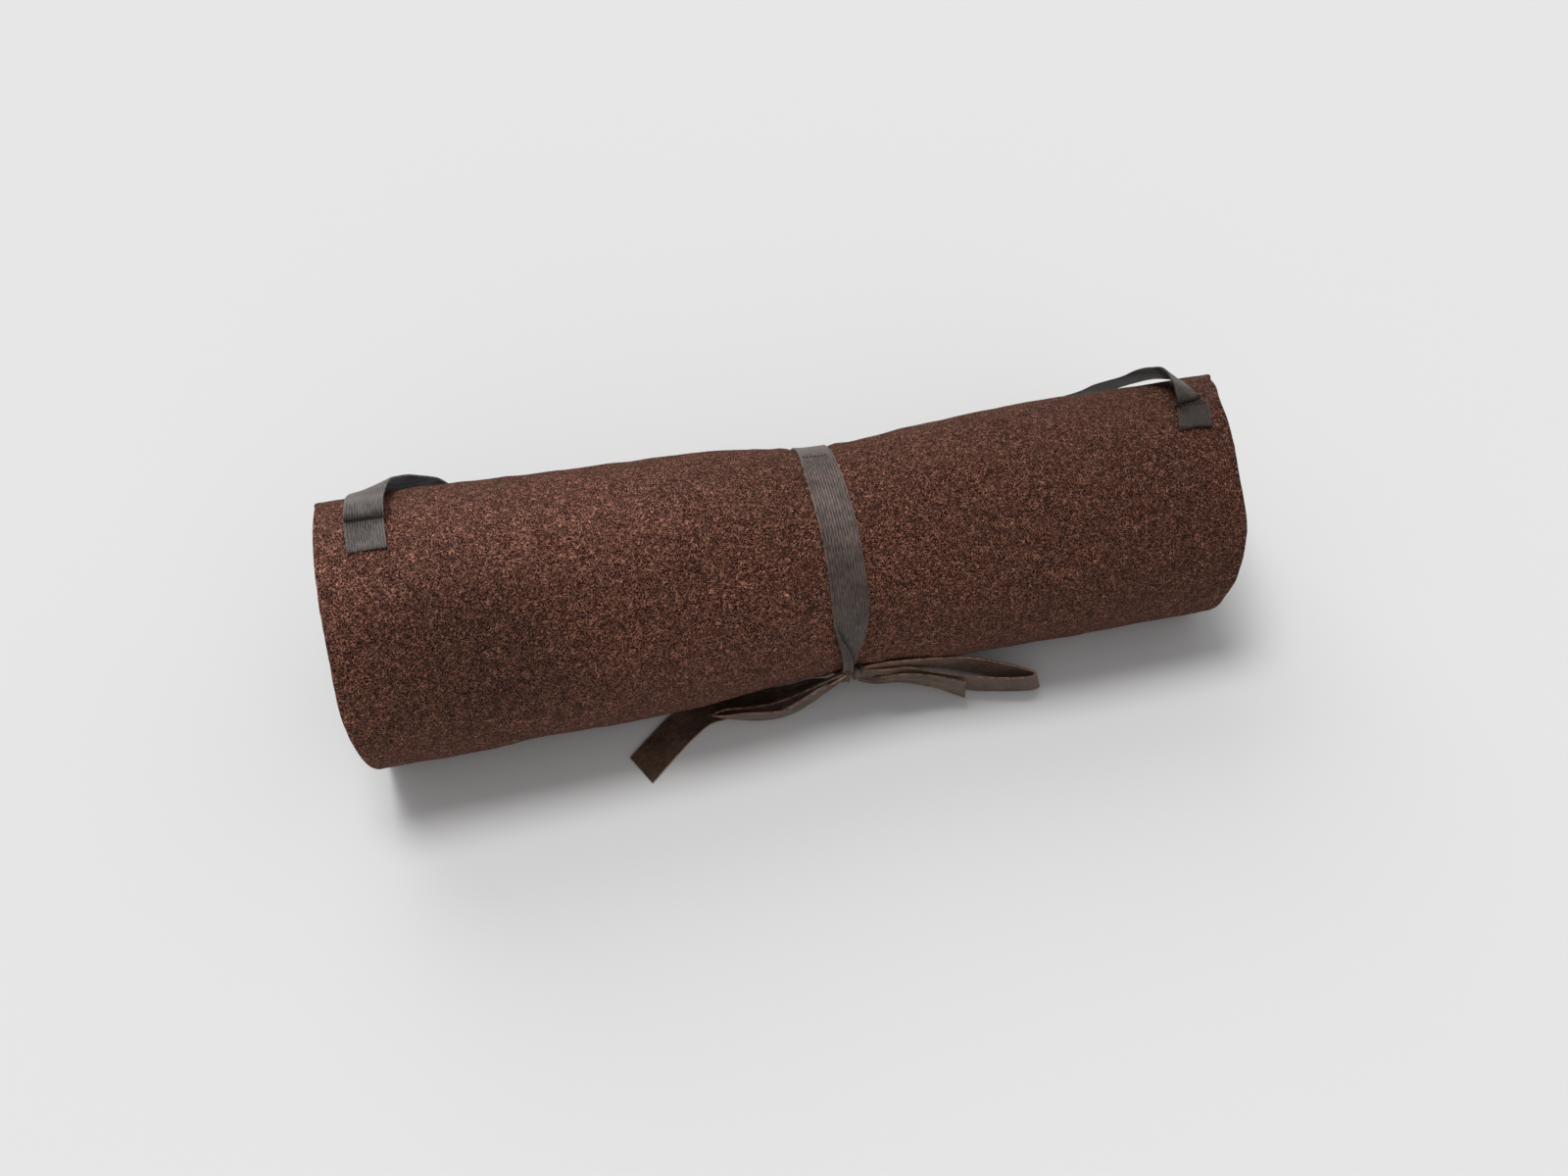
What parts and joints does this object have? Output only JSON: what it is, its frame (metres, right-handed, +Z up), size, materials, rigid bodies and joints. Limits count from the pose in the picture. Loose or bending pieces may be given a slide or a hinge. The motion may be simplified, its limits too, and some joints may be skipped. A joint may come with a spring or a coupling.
{
  "type": "brush roll case",
  "caption": "Rolled felt case for artists' brushes, closed by a ribbon tied in a bow round its waist, with a webbing carry strap sewn on at both ends.",
  "frame": {"origin": "on the table plane, under the middle of the object's own footprint", "axes": "+X along the roll from the fatter end to the thinner one, +Z up, -Y towards the bow"},
  "size_m": [0.3934, 0.1664, 0.1153],
  "materials": {
    "felt": "reddish brown heathered wool felt, matt and fibrous",
    "panel_felt": "thin brown felt, matt",
    "tie_ribbon": "brown-grey woven ribbon with fine lengthwise ribs",
    "strap_webbing": "grey-brown woven webbing with lengthwise ribs",
    "thread": "dark sewing thread"
  },
  "bodies": {
    "roll": {"band_anchor_stitch": "thread", "bow_knot": "tie_ribbon", "outer_cover": "felt", "pocket_panel": "panel_felt", "pocket_seam_1": "thread", "pocket_seam_10": "thread", "pocket_seam_11": "thread", "pocket_seam_12": "thread", "pocket_seam_2": "thread", "pocket_seam_3": "thread", "pocket_seam_4": "thread", "pocket_seam_5": "thread", "pocket_seam_6": "thread", "pocket_seam_7": "thread", "pocket_seam_8": "thread", "pocket_seam_9": "thread", "strap_tab_left": "strap_webbing", "strap_tab_right": "strap_webbing", "tab_stitch_left": "thread", "tab_stitch_right": "thread", "tie_band": "tie_ribbon", "tip_flap": "panel_felt"},
    "carry_strap": {"carry_strap": "strap_webbing"},
    "bow_left": {"bow_loop_left": "tie_ribbon", "bow_tail_left": "tie_ribbon"},
    "bow_right": {"bow_loop_right": "tie_ribbon", "bow_tail_right": "tie_ribbon"}
  },
  "joints": [
    {"name": "strap_lift", "type": "hinge", "parent": "roll", "child": "carry_strap", "pos_m": [0.00185, -0.01011, 0.10859], "axis": [0.9995, -0.0124, -0.0284], "range_deg": [0, 115]},
    {"name": "bow_left_swing", "type": "hinge", "parent": "roll", "child": "bow_left", "pos_m": [0.01595, -0.06631, 0.02618], "axis": [0, 0.2588, 0.9659], "range_deg": [0, 40]},
    {"name": "bow_right_swing", "type": "hinge", "parent": "roll", "child": "bow_right", "pos_m": [0.01595, -0.06631, 0.02618], "axis": [0, -0.2588, -0.9659], "range_deg": [0, 40]}
  ]
}
